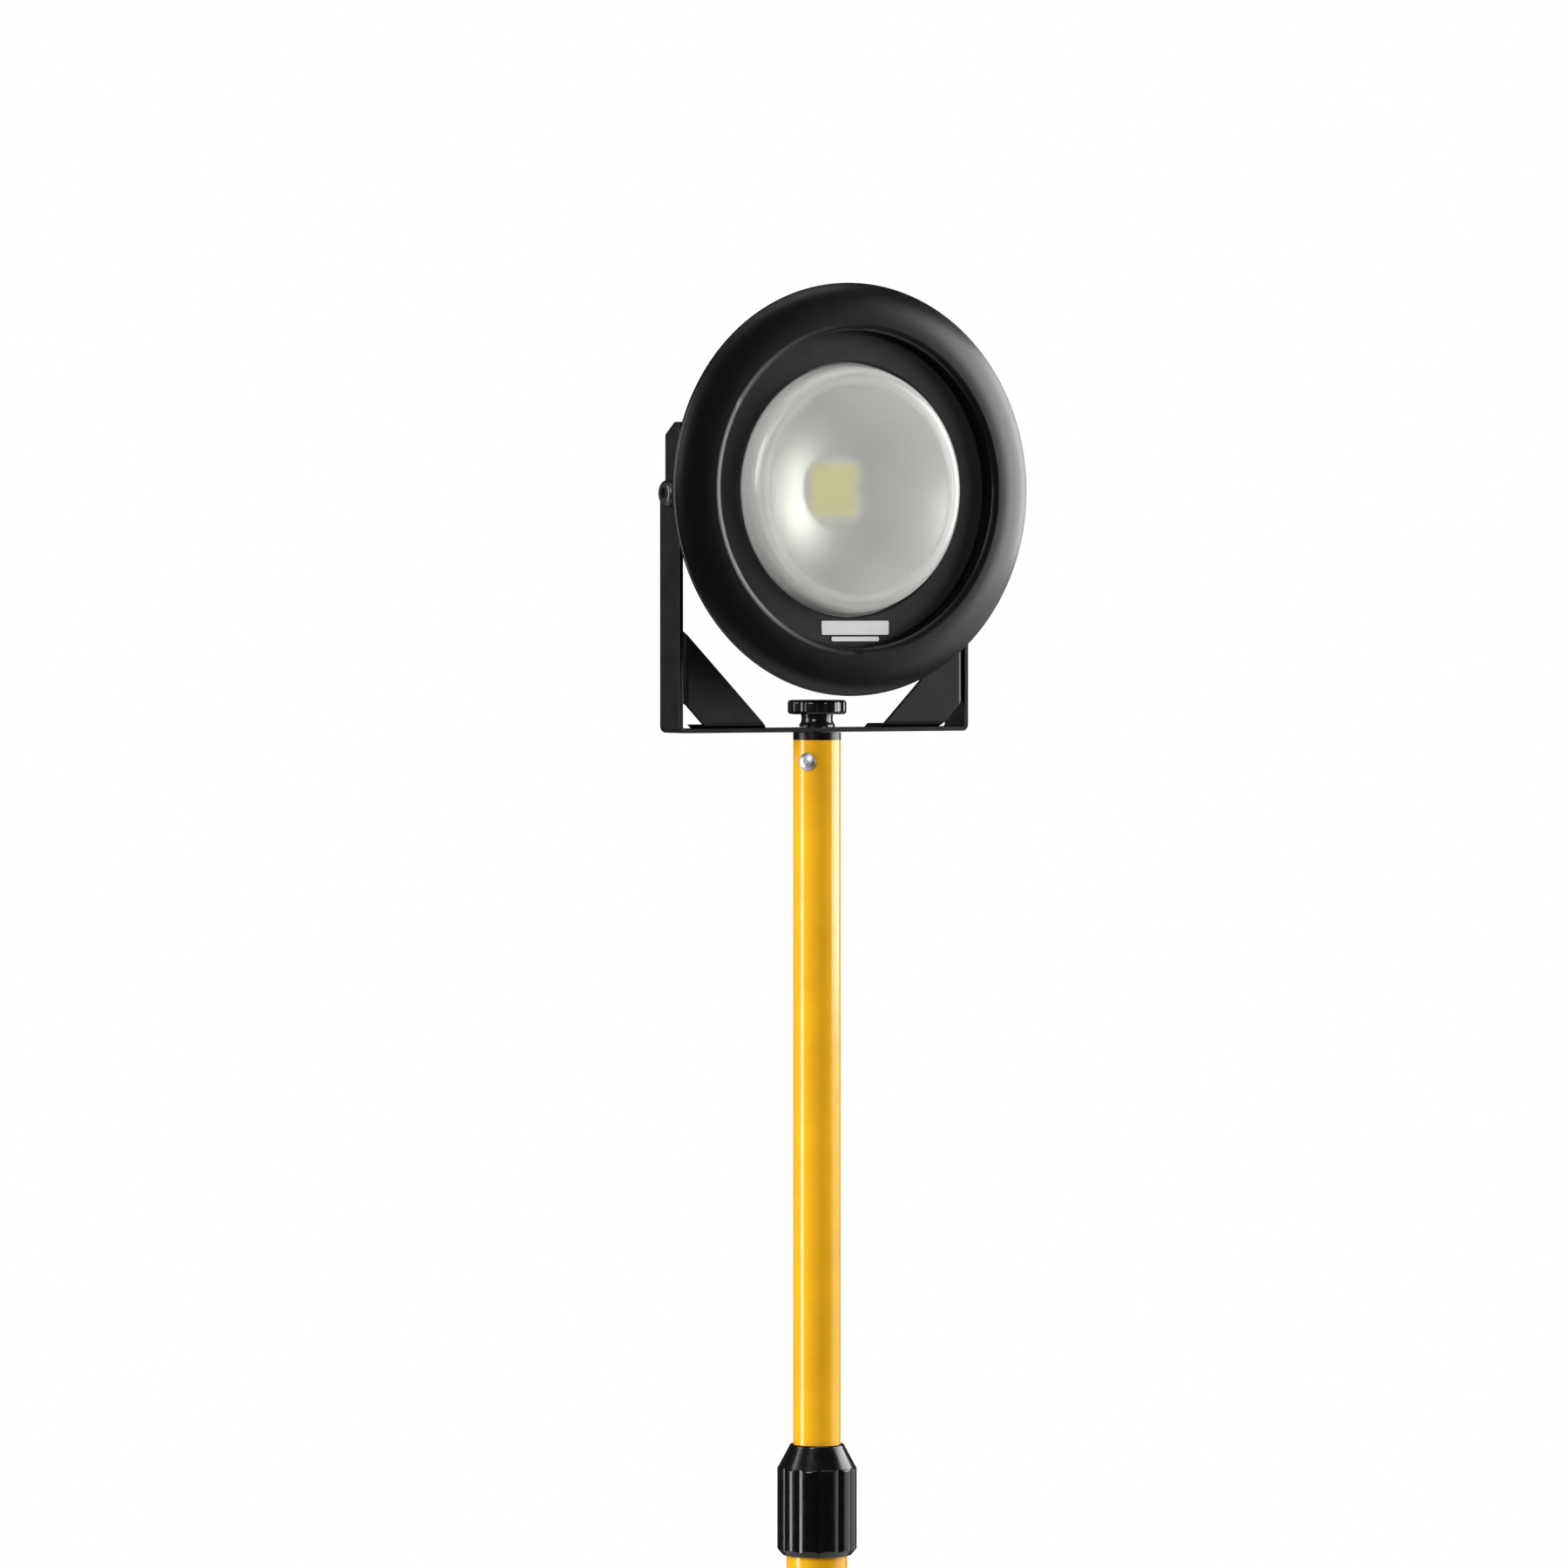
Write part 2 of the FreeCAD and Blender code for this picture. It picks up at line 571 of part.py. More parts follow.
def guide_bush():
    return upright(LOWER_R - WALL - 0.02, UPPER_R + RUN_GAP, LOWER_TOP - 85, LOWER_TOP)


def lock_sleeve():
    """The threaded sleeve on the lower tube that the twist-lock collar turns on."""
    return upright(SLEEVE_THREAD_R, LOWER_R + 0.02, LOWER_TOP - 24, LOWER_TOP + 1.5)


def collet():
    """The split cone that the collar squeezes onto the upper tube."""
    low, high = LOWER_TOP + 1.6, LOWER_TOP + 21
    bore = UPPER_R + RUN_GAP
    cone = turned_mast([(bore, low), (17.0, low), (17.0, low + 2), (14.0, high), (bore, high)])
    slots = [spun(box(10, 20, -0.75, 0.75, low + 4, high + 1), 90 * i) for i in range(4)]
    return cone.cut(group(slots))


def lock_collar():
    """The twist-lock collar: round ribs that run up into its cone and end there in arches."""
    low, top = COLLAR_BOTTOM, COLLAR_TOP
    shoulder = top - 13.0
    envelope = turned_mast([
        (0, top), (13.2, top), ((14.2, top - 0.3), (14.7, top - 1.2)), (COLLAR_R - 0.7, shoulder + 0.9),
        ((COLLAR_R - 0.1, shoulder), (COLLAR_R, shoulder - 1.4)), (COLLAR_R, low + 3.6),
        (COLLAR_R - 2.6, low + 0.5), ((COLLAR_R - 3.0, low + 0.1), (COLLAR_R - 3.6, low)), (0, low)])
    pieces = [Part.makeCylinder(COLLAR_R - 2.0, top - low + 2, V(0, 0, low - 1))]
    for i in range(COLLAR_RIBS):
        rib = Part.makeCylinder(COLLAR_RIB_R, top - low + 2, V(COLLAR_R - COLLAR_RIB_R, 0, low - 1))
        pieces.append(spun(rib, FIRST_RIB + 360.0 * i / COLLAR_RIBS))
    body = envelope.common(fused(pieces))
    sleeve_r = SLEEVE_THREAD_R + RUN_GAP
    bore = turned_mast([
        (0, low - 1), (LOWER_R + FREE_GAP, low - 1), (LOWER_R + FREE_GAP, low + 3.5), (sleeve_r, low + 3.5),
        (sleeve_r, LOWER_TOP + 2.0), (17.5, LOWER_TOP + 2.6), (17.5, LOWER_TOP + 4), (14.5, LOWER_TOP + 22),
        (UPPER_R + 0.4, LOWER_TOP + 23), (UPPER_R + 0.4, top + 1), (0, top + 1)])
    return body.cut(bore)


def lower_tube():
    return upright(LOWER_R, LOWER_R - WALL, LOWER_BOTTOM, LOWER_TOP)


def foot_plug():
    """The cap in the lower tube's open end."""
    return turned_mast([(0, LOWER_BOTTOM - 3), (LOWER_R - 0.6, LOWER_BOTTOM - 3), (LOWER_R, LOWER_BOTTOM - 2.2),
                        (LOWER_R, LOWER_BOTTOM - 0.02), (LOWER_R - WALL - 0.05, LOWER_BOTTOM - 0.02),
                        (LOWER_R - WALL - 0.05, LOWER_BOTTOM + 20), (0, LOWER_BOTTOM + 20)])


# ---------------------------------------------------------------- tripod
# Each leg is drawn in the XZ plane, with its radius along +X, and turned to its bearing.


def on_leg(along, out=0.0, side=0.0):
    """A point along the leg from its top pivot, moved outwards and sideways."""
    s, c = math.sin(SPREAD_RAD), math.cos(SPREAD_RAD)
    return V(PIVOT_R + along * s + out * c, side, LEG_Z - along * c + out * s)


def leg_places():
    return [b - 90.0 for b in LEG_BEARINGS]


def crosswise(radius, centre, y0, y1):
    return rod(radius, V(centre.x, y0, centre.z), V(centre.x, y1, centre.z))


def ears(centre, inner_half, thick, root_r):
    """The pair of ears of a clevis on a sleeve, with their pivot holes."""
    pair = []
    for side in (-1, 1):
        y0, y1 = sorted((side * inner_half, side * (inner_half + thick)))
        plate = box(root_r, centre.x, y0, y1, centre.z - EAR_R, centre.z + EAR_R)
        ear = plate.fuse(crosswise(EAR_R, centre, y0, y1))
        pair.append(ear.cut(crosswise(PIN_HOLE, centre, y0 - 1, y1 + 1)))
    return pair


def strut_hub():
    """The fixed hub at the mast's foot that the struts swing on."""
    sleeve = upright(SLEEVE_R, LOWER_R + 0.02, HUB_Z - 18, HUB_Z + 16)
    pieces = [sleeve]
    for turn in leg_places():
        pieces += [spun(ear, turn) for ear in ears(V(PIVOT_R, 0, HUB_Z), STRUT_T / 2 + 0.4, 3.0, SLEEVE_R - 2)]
    return fused(pieces)


def pin(centre, half, head_gap=0.05):
    """A rivet across a clevis, headed at both ends."""
    reach = half + head_gap
    heads = [crosswise(PIN_HEAD_R, centre, reach, reach + PIN_HEAD),
             crosswise(PIN_HEAD_R, centre, -reach - PIN_HEAD, -reach)]
    return fused([crosswise(PIN_R, centre, -reach - 0.5, reach + 0.5)] + heads)


def hub_rivets():
    rivet = pin(V(PIVOT_R, 0, HUB_Z), STRUT_T / 2 + 0.4 + 3.0)
    return group([spun(rivet, turn) for turn in leg_places()])


def strut():
    """A flat bar with rounded ends, from the hub to the leg."""
    low, high = V(PIVOT_R, 0, HUB_Z), on_leg(LINK)
    s, c = math.sin(SPREAD_RAD), math.cos(SPREAD_RAD)
    across = V(c, 0, -s) * EAR_R
    corners = [low + across, high + across, high - across, low - across]
    bar = Part.Face(Part.makePolygon(corners + corners[:1])).extrude(V(0, STRUT_T, 0))
    bar.translate(V(0, -STRUT_T / 2, 0))
    half = STRUT_T / 2
    bar = fused([bar, crosswise(EAR_R, low, -half, half), crosswise(EAR_R, high, -half, half)])
    return bar.cut(crosswise(PIN_HOLE, low, -9, 9)).cut(crosswise(PIN_HOLE, high, -9, 9))


def leg_tube():
    return pipe(LEG_R, LEG_R - WALL, on_leg(-6, LEG_OFFSET), on_leg(LEG_LENGTH, LEG_OFFSET))


def leg_knuckle():
    """The moulded top of a leg: a socket on the tube and a tongue that reaches in to the pivot."""
    socket = rod(13.0, on_leg(-12, LEG_OFFSET), on_leg(26, LEG_OFFSET))
    rims = [e for e in socket.Edges if abs(e.Length - 2 * math.pi * 13.0) < 0.01]
    socket = socket.makeFillet(1.5, rims)
    half = TONGUE_T / 2
    corners = [on_leg(-EAR_R, 0), on_leg(EAR_R, 0), on_leg(16, LEG_OFFSET), on_leg(-EAR_R, LEG_OFFSET)]
    tongue = Part.Face(Part.makePolygon(corners + corners[:1])).extrude(V(0, TONGUE_T, 0))
    tongue.translate(V(0, -half, 0))
    body = fused([socket, tongue, crosswise(EAR_R, on_leg(0), -half, half)])
    bore = rod(LEG_R + 0.02, on_leg(-6.02, LEG_OFFSET), on_leg(40, LEG_OFFSET))
    return body.cut(bore).cut(crosswise(PIN_HOLE, on_leg(0), -9, 9))


def leg_bracket():
    """The saddle on a leg that holds its strut."""
    band = rod(13.0, on_leg(LINK - 12, LEG_OFFSET), on_leg(LINK + 12, LEG_OFFSET))
    pieces = [band]
    for side in (-1, 1):
        y0, y1 = sorted((side * (STRUT_T / 2 + 0.4), side * (STRUT_T / 2 + 2.4)))
        corners = [on_leg(LINK - EAR_R, 0), on_leg(LINK + EAR_R, 0), on_leg(LINK + 11, LEG_OFFSET),
                   on_leg(LINK - 11, LEG_OFFSET)]
        ear = Part.Face(Part.makePolygon(corners + corners[:1])).extrude(V(0, y1 - y0, 0))
        ear.translate(V(0, y0, 0))
        pieces += [ear, crosswise(EAR_R, on_leg(LINK), y0, y1)]
    bore = rod(LEG_R + 0.02, on_leg(LINK - 30, LEG_OFFSET), on_leg(LINK + 30, LEG_OFFSET))
    return fused(pieces).cut(bore).cut(crosswise(PIN_HOLE, on_leg(LINK), -9, 9))


def leg_rivet():
    return pin(on_leg(LINK), STRUT_T / 2 + 2.4)


def leg_foot():
    """The rubber foot: a boot on the tube with a flat round pad."""
    end = on_leg(LEG_LENGTH, LEG_OFFSET)
    s, c = math.sin(SPREAD_RAD), math.cos(SPREAD_RAD)
    ground = end + V(s, 0, -c) * (end.z / c)
    boot = rod(14.0, on_leg(LEG_LENGTH - 30, LEG_OFFSET), ground + V(s, 0, -c) * 20)
    boot = boot.common(box(0, 2000, -100, 100, 0, 200))
    pad = Part.makeCylinder(21.0, 7.0, V(ground.x - 2, 0, 0))
    pad = pad.makeFillet(2.5, [e for e in pad.Edges if e.BoundBox.ZMin > 6.9])
    bore = rod(LEG_R + 0.02, on_leg(LEG_LENGTH - 60, LEG_OFFSET), on_leg(LEG_LENGTH + 0.02, LEG_OFFSET))
    return fused([boot, pad]).cut(bore)


def leg_collar():
    """The sliding collar that the legs hang from, with a boss for its lock knob at the back."""
    sleeve = upright(SLEEVE_R + 0.5, LOWER_R + FREE_GAP, LEG_Z - 20, LEG_Z + 20)
    pieces = [sleeve]
    for turn in leg_places():
        pieces += [spun(ear, turn) for ear in ears(V(PIVOT_R, 0, LEG_Z), TONGUE_T / 2 + 0.4, 4.0, SLEEVE_R - 2)]
    pieces.append(rod(9.0, V(0, 18.5, LEG_Z), V(0, 31, LEG_Z)))
    bore = rod(LOWER_R + FREE_GAP, V(0, 0, LEG_Z - 30), V(0, 0, LEG_Z + 30))
    return fused(pieces).cut(bore).cut(rod(4.05, V(0, 10, LEG_Z), V(0, 40, LEG_Z)))


def collar_rivets():
    """The headed stubs in the collar's ears. They end at the ears' inner faces, clear of the leg's tongue."""
    stubs = []
    inner = TONGUE_T / 2 + 0.4
    outer = inner + 4.0
    at = V(PIVOT_R, 0, LEG_Z)
    for turn in leg_places():
        for side in (-1, 1):
            y0, y1, y2 = side * inner, side * (outer + 0.05), side * (outer + 0.05 + PIN_HEAD)
            stub = crosswise(PIN_R, at, *sorted((y0, y2)))
            stubs.append(spun(fused([stub, crosswise(PIN_HEAD_R, at, *sorted((y1, y2)))]), turn))
    return group(stubs)


def tripod_knob():
    """The lobed head of the collar's clamp screw."""
    head = lobed(17.0, 5, 3.2, 31.3, 44.0, 2.2)
    head = fused([head, Part.makeCylinder(8.0, 4.0, V(0, 0, 30.0 + 1.3))])
    head = head.cut(Part.makeCylinder(4.0, 10.0, V(0, 0, 31.0)))
    head.rotate(V(0, 0, 0), X_AXIS, -90)
    head.translate(V(0, 0, LEG_Z))
    return head


def tripod_knob_stud():
    return rod(3.98, V(0, LOWER_R + 0.5, LEG_Z), V(0, 40.5, LEG_Z))


PIECES = {
    "bezel_ring": bezel_ring,
    "lens_ring": lens_ring,
    "badge": badge,
    "lens": lens,
    "lens_gasket": lens_gasket,
    "reflector": reflector,
    "cob_led": cob_led,
    "led_board": led_board,
    "board_screws": board_screws,
    "thermal_pad": thermal_pad,
    "housing": housing,
    "bezel_screws": bezel_screws,
    "rear_cover": rear_cover,
    "cover_screws": cover_screws,
    "led_driver": led_driver,
    "gland_body": gland_body,
    "gland_cap": gland_cap,
    "gland_seal": gland_seal,
    "pivot_bolts": pivot_bolts,
    "pivot_washers": pivot_washers,
    "yoke_bracket": yoke_bracket,
    "hand_knob": hand_knob,
    "knob_stud": knob_stud,
    "mast_plug": mast_plug,
    "stud_insert": stud_insert,
    "tube_rivet": tube_rivet,
    "upper_tube": upper_tube,
    "end_bush": end_bush,
    "guide_bush": guide_bush,
    "lock_sleeve": lock_sleeve,
    "collet": collet,
    "lock_collar": lock_collar,
    "lower_tube": lower_tube,
    "foot_plug": foot_plug,
    "strut_hub": strut_hub,
    "hub_rivets": hub_rivets,
    "leg_collar": leg_collar,
    "collar_rivets": collar_rivets,
    "tripod_knob": tripod_knob,
    "tripod_knob_stud": tripod_knob_stud,
}
LEG_PIECES = {
    "leg_tube": leg_tube,
    "leg_knuckle": leg_knuckle,
    "leg_bracket": leg_bracket,
    "leg_rivet": leg_rivet,
    "leg_foot": leg_foot,
}


def write(name, shape):
    if not shape.isValid():
        print("not valid:", name)
    shape.exportStep("parts/" + name + ".step")


os.makedirs("parts", exist_ok=True)
for name, make in PIECES.items():
    write(name, make())
for name, side in SIDES.items():
    write("gusset_" + name, gusset(side))
for name, make in LEG_PIECES.items():
    drawn = make()
    for number, turn in enumerate(leg_places(), 1):
        write(name + "_" + str(number), spun(drawn, turn))
one_strut = strut()
for number, turn in enumerate(leg_places(), 1):
    write("strut_" + str(number), spun(one_strut, turn))
print("leg pivot height", LEG_Z, "leg length", LEG_LENGTH)
print("collar slide", 2 * LINK * (1 - math.cos(SPREAD_RAD)))
foot_centre = on_leg(LEG_LENGTH, LEG_OFFSET)
print("foot centre radius", foot_centre.x + foot_centre.z * math.tan(SPREAD_RAD) - 2)
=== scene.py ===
import json
import math

import bpy
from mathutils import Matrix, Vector


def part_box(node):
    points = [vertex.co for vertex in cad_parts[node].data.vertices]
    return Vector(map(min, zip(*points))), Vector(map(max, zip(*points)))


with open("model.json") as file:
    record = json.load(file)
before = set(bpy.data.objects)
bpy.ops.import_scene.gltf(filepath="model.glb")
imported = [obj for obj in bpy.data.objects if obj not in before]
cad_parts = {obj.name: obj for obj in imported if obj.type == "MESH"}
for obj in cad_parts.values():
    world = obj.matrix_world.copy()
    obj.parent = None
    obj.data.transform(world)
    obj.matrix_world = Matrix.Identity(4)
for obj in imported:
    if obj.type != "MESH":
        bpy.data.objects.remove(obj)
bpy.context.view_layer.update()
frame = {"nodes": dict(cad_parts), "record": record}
nodes = frame["nodes"]
record = frame["record"]

# Named places in the CAD frame, in metres
yoke_low, yoke_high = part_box("yoke_bracket")
PLATE_Z = yoke_low.z
lamp_low, lamp_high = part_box("bezel_ring")
LAMP_Z = (lamp_low.z + lamp_high.z) / 2
lens_low, lens_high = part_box("lens")
LENS_R = (lens_high.x - lens_low.x) / 2
chip_low, chip_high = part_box("cob_led")
CHIP_HALF = (chip_high.x - chip_low.x) / 2

# Where the looks of the lens and the chip change, as shares of those two sizes
DOME_START, DOME_END = 0.73 * LENS_R, 0.79 * LENS_R
SIDE_START, SIDE_END = 0.82 * LENS_R, 0.89 * LENS_R
PHOSPHOR_END, DAM_START = 0.785 * CHIP_HALF, 0.804 * CHIP_HALF
DAM_END, PLATE_START = 0.886 * CHIP_HALF, 0.892 * CHIP_HALF
# Strength of the chip's painted glow: an emission standing in for light through the frosted lens, as the
# lamp is off
CHIP_PAINTED_GLOW = 0.16

CAMERA_AZIMUTH = math.radians(-31.0)
CAMERA_DISTANCE = 4.13
CAMERA_RISE = 0.064  # above the yoke's base
AIM_DROP = 0.0275  # the picture's centre, below the yoke's base
AIM_LEFT = 0.0174  # the picture's centre, left of the mast


# ------------------------------------------------------------------ materials


class Look:
    """A procedural material: a Principled shader, and short ways to feed it. Lengths are in metres."""

    def __init__(self, name, **sockets):
        self.material = bpy.data.materials.new(name)
        self.material.use_nodes = True
        self.tree = self.material.node_tree
        self.tree.nodes.clear()
        self.output = self.tree.nodes.new("ShaderNodeOutputMaterial")
        self.shader = self.tree.nodes.new("ShaderNodeBsdfPrincipled")
        self.link(self.shader.outputs[0], self.output.inputs["Surface"])
        self.place = self.tree.nodes.new("ShaderNodeTexCoord").outputs["Object"]
        for socket, value in sockets.items():
            self.set(socket, value)

    def link(self, source, target):
        self.tree.links.new(source, target)

    def socket(self, name):
        return self.shader.inputs[name.replace("_", " ")]

    def set(self, name, value):
        socket = self.socket(name)
        if isinstance(value, bpy.types.NodeSocket):
            self.link(value, socket)
        elif isinstance(value, tuple):
            socket.default_value = (*value, 1.0) if len(value) == 3 else value
        else:
            socket.default_value = value

    def noise(self, scale, detail=2.0, roughness=0.5, stretch=None):
        node = self.tree.nodes.new("ShaderNodeTexNoise")
        node.inputs["Scale"].default_value = scale
        node.inputs["Detail"].default_value = detail
        node.inputs["Roughness"].default_value = roughness
        self.link(self.stretched(stretch), node.inputs["Vector"])
        return node.outputs["Fac"]

    def cells(self, scale):
        node = self.tree.nodes.new("ShaderNodeTexVoronoi")
        node.inputs["Scale"].default_value = scale
        self.link(self.place, node.inputs["Vector"])
        return node.outputs["Distance"]

    def stretched(self, stretch):
        if stretch is None:
            return self.place
        node = self.tree.nodes.new("ShaderNodeMapping")
        node.inputs["Scale"].default_value = stretch
        self.link(self.place, node.inputs["Vector"])
        return node.outputs[0]

    def axis(self, name):
        node = self.tree.nodes.new("ShaderNodeSeparateXYZ")
        self.link(self.place, node.inputs[0])
        return node.outputs[name]

    def math(self, operation, a, b=0.0):
        node = self.tree.nodes.new("ShaderNodeMath")
        node.operation = operation
        for value, socket in ((a, node.inputs[0]), (b, node.inputs[1])):
            if isinstance(value, bpy.types.NodeSocket):
                self.link(value, socket)
            else:
                socket.default_value = value
        return node.outputs[0]

    def spread(self, value, low, high, start=0.0, end=1.0):
        """Maps a value from start..end onto low..high, clamped."""
        node = self.tree.nodes.new("ShaderNodeMapRange")
        for number, socket in zip((start, end, low, high), ("From Min", "From Max", "To Min", "To Max")):
            node.inputs[socket].default_value = number
        self.link(value, node.inputs["Value"])
        return node.outputs[0]

    def ramp(self, value, *stops):
        node = self.tree.nodes.new("ShaderNodeValToRGB")
        elements = node.color_ramp.elements
        while len(elements) < len(stops):
            elements.new(0.5)
        for element, (position, colour) in zip(elements, stops):
            element.position = position
            element.color = (*colour, 1.0)
        self.link(value, node.inputs[0])
        return node.outputs["Color"]

    def mix(self, share, a, b):
        node = self.tree.nodes.new("ShaderNodeMix")
        node.data_type = "RGBA"
        self.link(share, node.inputs["Factor"])
        for value, socket in ((a, node.inputs["A"]), (b, node.inputs["B"])):
            picked = [s for s in node.inputs if s.name == socket.name and s.type == "RGBA"][0]
            if isinstance(value, bpy.types.NodeSocket):
                self.link(value, picked)
            else:
                picked.default_value = (*value, 1.0)
        return [s for s in node.outputs if s.type == "RGBA"][0]

    def surface(self, height, distance, strength=1.0):
        """Feeds the shader a bump."""
        self.relief = self.tree.nodes.new("ShaderNodeBump")
        self.relief.inputs["Strength"].default_value = strength
        self.relief.inputs["Distance"].default_value = distance
        self.link(height, self.relief.inputs["Height"])
        self.link(self.relief.outputs[0], self.socket("Normal"))
        return self

    def softened(self, radius=0.0005):
        """Rounds sharp edges in the light, as paint does on cut sheet."""
        edge = self.tree.nodes.new("ShaderNodeBevel")
        edge.samples = 8
        edge.inputs["Radius"].default_value = radius
        self.link(edge.outputs[0], self.relief.inputs["Normal"])
        return self


def coated(name, colour, rough, grain, depth, spread=0.06, **sockets):
    """Paint or powder coat: slight unevenness of tone, of gloss and of surface."""
    look = Look(name, **sockets)
    tone = look.noise(35.0, 3.0)
    darker = tuple(0.92 * c for c in colour)
    lighter = tuple(min(1.0, 1.06 * c) for c in colour)
    look.set("Base_Color", look.ramp(tone, (0.3, darker), (0.7, lighter)))
    look.set("Roughness", look.spread(look.noise(90.0, 4.0), rough - spread, rough + spread, 0.3, 0.7))
    return look.surface(look.noise(grain, 3.0, 0.6), depth)


def moulded(name, colour, rough, grain, depth, **sockets):
    """Moulded plastic with a fine spark-eroded texture."""
    look = Look(name, **sockets)
    darker = tuple(0.85 * c for c in colour)
    look.set("Base_Color", look.ramp(look.noise(20.0, 2.0), (0.3, darker), (0.7, colour)))
    look.set("Roughness", look.spread(look.noise(150.0, 3.0), rough - 0.05, rough + 0.05, 0.3, 0.7))
    return look.surface(look.cells(grain), depth)


def metal(name, colour, rough, grain, stretch=(1.0, 1.0, 1.0), depth=0.00001):
    """Bare or plated metal, with fine marks along one way."""
    look = Look(name, Metallic=1.0)
    marks = look.noise(grain, 4.0, 0.65, stretch)
    darker = tuple(0.8 * c for c in colour)
    look.set("Base_Color", look.ramp(marks, (0.3, darker), (0.7, colour)))
    look.set("Roughness", look.spread(marks, rough - 0.08, rough + 0.08, 0.3, 0.7))
    return look.surface(marks, depth)


def lamp_radius(look):
    """The distance from the lamp's axis."""
    up = look.math("SUBTRACT", look.axis("Z"), LAMP_Z)
    across = look.axis("X")
    square = look.math("ADD", look.math("MULTIPLY", across, across), look.math("MULTIPLY", up, up))
    return look.math("SQRT", square)


def lens_look():
    """Frosted glass: the dome lets the chip show, the thick side is milky, and both have etch grain."""
    look = Look("lens_glass", IOR=1.45, Coat_Weight=0.5, Coat_Roughness=0.34, Coat_IOR=1.6)
    tint = look.ramp(look.noise(14.0, 2.0), (0.3, (0.975, 0.985, 0.955)), (0.7, (0.985, 0.995, 0.965)))
    look.set("Base_Color", tint)
    radius = lamp_radius(look)
    clear = look.spread(radius, 0.84, 0.70, DOME_START, DOME_END)
    side = look.spread(radius, 1.0, 0.6, SIDE_START, SIDE_END)
    look.set("Transmission_Weight", look.math("MULTIPLY", clear, side))
    look.set("Roughness", look.spread(look.noise(400.0, 3.0), 0.235, 0.260, 0.3, 0.7))
    return look.surface(look.noise(2500.0, 2.0), 0.00001, 0.3)


def chip_look():
    """The chip: a yellow phosphor square, a pale dam and a white ceramic plate.

    Its faint glow is painted light: the lamp is switched off, and the emission brightens the chip in place
    of light reaching it through the frosted lens.
    """
    # The emission colour and strength are painted light on a chip that is switched off
    look = Look("led_chip", Roughness=0.55, Specular_IOR_Level=0.35,
                Emission_Color=(1.0, 0.93, 0.42), Emission_Strength=CHIP_PAINTED_GLOW)
    across = look.math("ABSOLUTE", look.axis("X"))
    up = look.math("ABSOLUTE", look.math("SUBTRACT", look.axis("Z"), LAMP_Z))
    reach = look.math("MAXIMUM", across, up)
    dots = look.cells(700.0)
    phosphor = look.ramp(dots, (0.0, (0.97, 0.84, 0.03)), (0.6, (1.0, 0.90, 0.08)))
    dam = look.spread(reach, 0.0, 1.0, PHOSPHOR_END, DAM_START)
    plate = look.spread(reach, 0.0, 1.0, DAM_END, PLATE_START)
    look.set("Base_Color", look.mix(plate, look.mix(dam, phosphor, (0.93, 0.90, 0.66)), (0.90, 0.90, 0.88)))
    return look.surface(dots, 0.00005)


def board_look():
    """The LED board: white solder mask on metal."""
    look = Look("board_metal", Roughness=0.4)
    mask = look.ramp(look.noise(40.0, 3.0), (0.3, (0.88, 0.89, 0.87)), (0.7, (0.93, 0.93, 0.92)))
    look.set("Base_Color", mask)
    return look.surface(look.noise(900.0), 0.00002)


def reflector_look():
    """The reflector bowl: satin metal with faint turning marks."""
    look = Look("reflector_metal", Metallic=1.0)
    rings = look.noise(60.0, 3.0, 0.6, (1.0, 30.0, 1.0))
    look.set("Base_Color", look.ramp(rings, (0.3, (0.74, 0.75, 0.72)), (0.7, (0.82, 0.83, 0.80))))
    look.set("Roughness", look.spread(rings, 0.38, 0.50, 0.3, 0.7))
    return look.surface(rings, 0.00002)


def rubber(name, colour, rough=0.7):
    """Matt rubber with a trace of dust."""
    look = Look(name, Specular_IOR_Level=0.3)
    dust = look.noise(45.0, 5.0, 0.6)
    dusty = tuple(c + 0.02 for c in colour)
    look.set("Base_Color", look.ramp(dust, (0.4, colour), (0.75, dusty)))
    look.set("Roughness", look.spread(dust, rough - 0.08, rough + 0.1, 0.3, 0.7))
    return look.surface(look.noise(1200.0, 2.0), 0.00008)


